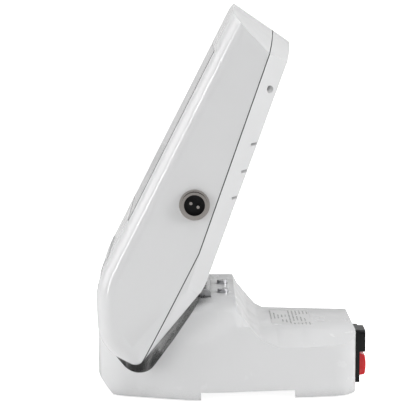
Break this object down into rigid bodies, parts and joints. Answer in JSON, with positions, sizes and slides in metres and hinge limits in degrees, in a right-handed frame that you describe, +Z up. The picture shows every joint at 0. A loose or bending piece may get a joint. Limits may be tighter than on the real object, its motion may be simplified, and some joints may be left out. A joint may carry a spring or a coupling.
{
  "type": "treatment console",
  "caption": "Glossy white tabletop treatment console: a thick touch-screen head that tilts on a low saddle base, with a side handpiece socket and a rear power inlet.",
  "frame": {"origin": "centre of the underside of the rubber feet, in the middle of the part's footprint", "axes": "+X out of the flank with the handpiece socket, -Y towards the user, +Z up"},
  "size_m": [0.213, 0.2216, 0.3162],
  "materials": {
    "white_gloss": "glossy white moulded plastic",
    "white_satin": "satin white plastic",
    "black_plastic": "glossy black plastic",
    "black_rubber": "matte black rubber",
    "screen_glass": "dark screen glass",
    "chrome": "bright plating",
    "steel": "brushed steel",
    "brass": "plated contacts",
    "red_plastic": "translucent red plastic",
    "label_film": "printed film",
    "board_green": "circuit board",
    "heat_sink": "extruded aluminium",
    "copper_core": "laminated core",
    "panel_grey": "display panel",
    "adhesive": "foam tape"
  },
  "bodies": {
    "base": {"hinge_base_leaf": "steel", "hinge_base_screws": "chrome", "hinge_pin": "steel", "base_shell": "white_gloss", "bottom_plate": "white_satin", "rubber_feet": "black_rubber", "bottom_screws": "steel", "rating_label": "label_film", "inlet_housing": "black_plastic", "inlet_blades": "brass", "switch_tabs": "brass", "power_board": "board_green", "power_board_screws": "steel", "power_transformer": "copper_core", "power_capacitors": "black_plastic", "power_heatsink": "heat_sink"},
    "head": {"front_housing": "white_gloss", "rear_cover": "white_gloss", "rear_cover_screws": "steel", "display_glass": "screen_glass", "glass_tape": "adhesive", "lcd_panel": "panel_grey", "lcd_bracket": "steel", "lcd_bracket_screws": "steel", "board_spacers": "brass", "main_board": "board_green", "main_board_chips": "black_plastic", "generator_board": "board_green", "generator_board_screws": "steel", "output_transformer": "copper_core", "output_heatsink": "heat_sink", "key_board": "board_green", "key_board_screws": "steel", "key_switch": "black_plastic", "socket_shell": "chrome", "socket_insert": "black_plastic", "socket_pins": "chrome", "socket_nut": "steel", "socket_washer": "steel", "hinge_head_leaf": "steel", "hinge_head_screws": "chrome"},
    "start_key": {"start_key": "white_satin"},
    "rocker": {"rocker_button": "red_plastic"}
  },
  "joints": [
    {"name": "head_tilt", "type": "hinge", "parent": "base", "child": "head", "pos_m": [-0.0025, -0.022, 0.08], "axis": [-1, 0, 0], "range_deg": [-5, 25]},
    {"name": "start_key_press", "type": "slide", "parent": "head", "child": "start_key", "axis": [0, 0.8918, -0.4524], "range_m": [0, 0.0012], "stiffness_N_per_m": 500, "springref_m": -0.0004},
    {"name": "rocker_switch", "type": "hinge", "parent": "base", "child": "rocker", "pos_m": [0.0225, 0.1001, 0.0184], "axis": [1, 0, 0], "range_deg": [-11, 11]}
  ]
}
